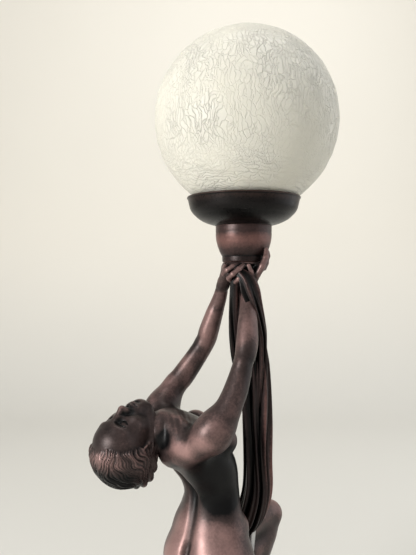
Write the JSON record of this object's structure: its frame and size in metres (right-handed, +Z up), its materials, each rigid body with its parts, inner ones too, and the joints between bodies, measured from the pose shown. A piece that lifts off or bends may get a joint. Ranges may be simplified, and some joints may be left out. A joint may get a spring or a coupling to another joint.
{
  "type": "figural table lamp",
  "caption": "Table lamp: cast kneeling figure with raised arms holds a cup, a dish and a crackled glass globe over a bulb; stepped round plinth.",
  "frame": {"origin": "centre of the plinth's underside, on the table", "axes": "+Z up; +Y away from the picture's camera; +X to the camera's right. The figure's head is towards -X."},
  "size_m": [0.2699, 0.244, 0.7418],
  "materials": {
    "felt": "matt",
    "black_steel": "satin",
    "zinc_steel": "satin",
    "dark_bronze": "satin",
    "patinated_bronze": "satin, rubbed to copper on the raised parts",
    "black_rubber": "matt",
    "spring_brass": "satin",
    "aged_brass": "satin",
    "contact_brass": "satin",
    "ceramic": "glazed",
    "bulb_aluminium": "satin",
    "black_glass": "gloss",
    "bulb_glass": "frosted",
    "crackle_glass": "crackled, frosted"
  },
  "bodies": {
    "lamp_body": {"base_felt": "felt", "base_plate": "black_steel", "base_plate_screws": "zinc_steel", "plinth": "dark_bronze", "cord_grommet": "black_rubber", "figure_bolts": "zinc_steel", "figure_washers": "zinc_steel", "figure": "patinated_bronze", "drape": "patinated_bronze", "conduit_tube": "zinc_steel", "tube_lower_washer": "zinc_steel", "tube_lower_nut": "zinc_steel", "socket_cup": "patinated_bronze", "gallery_dish": "dark_bronze", "dish_washer": "zinc_steel", "tube_upper_nut": "zinc_steel", "globe_spider": "spring_brass", "globe_spring_arms": "spring_brass", "spring_rivets": "spring_brass", "holder_base": "aged_brass", "holder_core": "ceramic", "holder_shell": "aged_brass", "holder_contacts": "contact_brass", "shade_ring": "aged_brass"},
    "globe_body": {"globe": "crackle_glass"},
    "contact_body": {"bulb_contact": "contact_brass"},
    "bulb_body": {"bulb_glass": "bulb_glass", "bulb_cap": "bulb_aluminium", "bulb_insulator": "black_glass"}
  },
  "joints": [
    {"name": "globe_lift", "type": "slide", "parent": "lamp_body", "child": "globe_body", "axis": [0, 0, 1], "range_m": [0, 0.15], "deforming": ["globe_spring_arms"]},
    {"name": "bulb_rise", "type": "slide", "parent": "lamp_body", "child": "contact_body", "axis": [0, 0, 1], "range_m": [0, 0.0218]},
    {"name": "bulb_turn", "type": "hinge", "parent": "contact_body", "child": "bulb_body", "pos_m": [0.011, -0.022, 0.565], "axis": [0, 0, 1], "range_deg": [0, 2160]}
  ],
  "couplings": [
    {"joint": "bulb_rise", "follows": "bulb_turn", "m_per_rad": 0.00057758}
  ]
}
